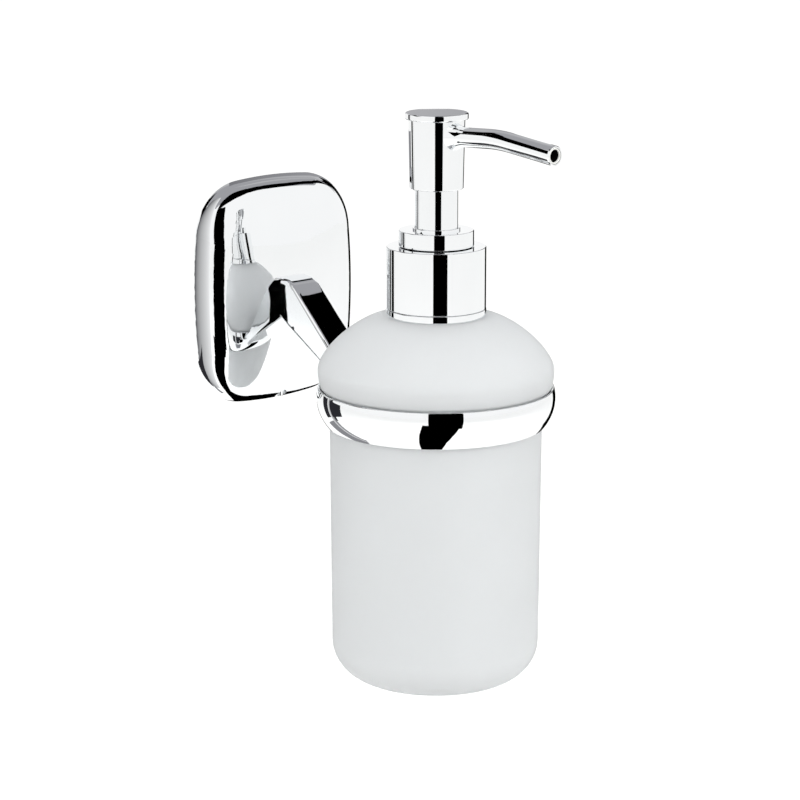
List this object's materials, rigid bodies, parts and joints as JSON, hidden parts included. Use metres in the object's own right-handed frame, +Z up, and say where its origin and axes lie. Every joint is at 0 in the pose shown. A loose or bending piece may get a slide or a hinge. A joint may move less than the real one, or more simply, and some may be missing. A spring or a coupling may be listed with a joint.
{
  "type": "wall mounted soap dispenser",
  "caption": "Frosted glass soap bottle with a chromed lotion pump, held in a chromed ring on an arm from a pillow-shaped wall plate.",
  "frame": {"origin": "on the wall plane, midway between the wall bracket's two screw holes", "axes": "+X right, +Y into the wall, +Z up; the dispenser stands out from the wall towards -Y"},
  "size_m": [0.0774, 0.1364, 0.1859],
  "materials": {
    "polished_chrome": "mirror bright chrome plate",
    "frosted_glass": "acid etched, evenly frosted outside",
    "zinc_plated_steel": "bright zinc plate",
    "stainless_steel": "bright drawn",
    "white_plastic": "moulded polypropylene",
    "clear_plastic": "milky moulded polyethylene",
    "gasket_rubber": "soft pale elastomer"
  },
  "bodies": {
    "wall_mount": {"wall_bracket": "zinc_plated_steel", "escutcheon": "polished_chrome", "grub_screw": "stainless_steel", "holder_arm": "polished_chrome", "arm_screw": "zinc_plated_steel", "arm_washer": "zinc_plated_steel", "holder_ring": "polished_chrome"},
    "liner": {"ring_liner": "clear_plastic"},
    "bottle_body": {"bottle": "frosted_glass", "neck_ring": "polished_chrome"},
    "pump": {"neck_gasket": "gasket_rubber", "pump_housing": "white_plastic", "stem_guide": "white_plastic", "valve_cage": "white_plastic", "return_spring": "stainless_steel", "dip_tube": "clear_plastic", "lock_nut": "polished_chrome"},
    "collar": {"collar_shell": "polished_chrome", "collar_insert": "white_plastic"},
    "plunger": {"piston": "clear_plastic"},
    "head": {"piston_stem": "white_plastic", "stem_sleeve": "polished_chrome", "pump_head": "polished_chrome", "head_core": "white_plastic", "head_cap": "polished_chrome", "spout": "polished_chrome", "spout_liner": "white_plastic"},
    "inlet_valve": {"inlet_ball": "stainless_steel"},
    "outlet_valve": {"outlet_ball": "stainless_steel"}
  },
  "joints": [
    {"name": "bottle_turn", "type": "hinge", "parent": "wall_mount", "child": "liner", "pos_m": [0, -0.0835, -0.024], "axis": [0, 0, 1], "continuous": true},
    {"name": "bottle_lift", "type": "slide", "parent": "liner", "child": "bottle_body", "axis": [0, 0, 1], "range_m": [0, 0.115]},
    {"name": "pump_rise", "type": "slide", "parent": "bottle_body", "child": "pump", "axis": [0, 0, 1], "range_m": [0, 0.0063]},
    {"name": "collar_turn", "type": "hinge", "parent": "pump", "child": "collar", "pos_m": [0, -0.0835, 0.015], "axis": [0, 0, 1], "range_deg": [0, 540.5]},
    {"name": "pump_press", "type": "slide", "parent": "pump", "child": "plunger", "axis": [0, 0, -1], "range_m": [0, 0.012], "stiffness_N_per_m": 500, "springref_m": -0.006, "deforming": ["return_spring"]},
    {"name": "head_swivel", "type": "hinge", "parent": "plunger", "child": "head", "pos_m": [0, -0.0835, 0.05], "axis": [0, 0, 1], "continuous": true},
    {"name": "inlet_ball_lift", "type": "slide", "parent": "pump", "child": "inlet_valve", "axis": [0, 0, 1], "range_m": [0, 0.0012]},
    {"name": "outlet_ball_lift", "type": "slide", "parent": "head", "child": "outlet_valve", "axis": [0, 0, 1], "range_m": [0, 0.0012]}
  ],
  "couplings": [
    {"joint": "collar_turn", "follows": "pump_rise", "rad_per_m": 1496}
  ]
}
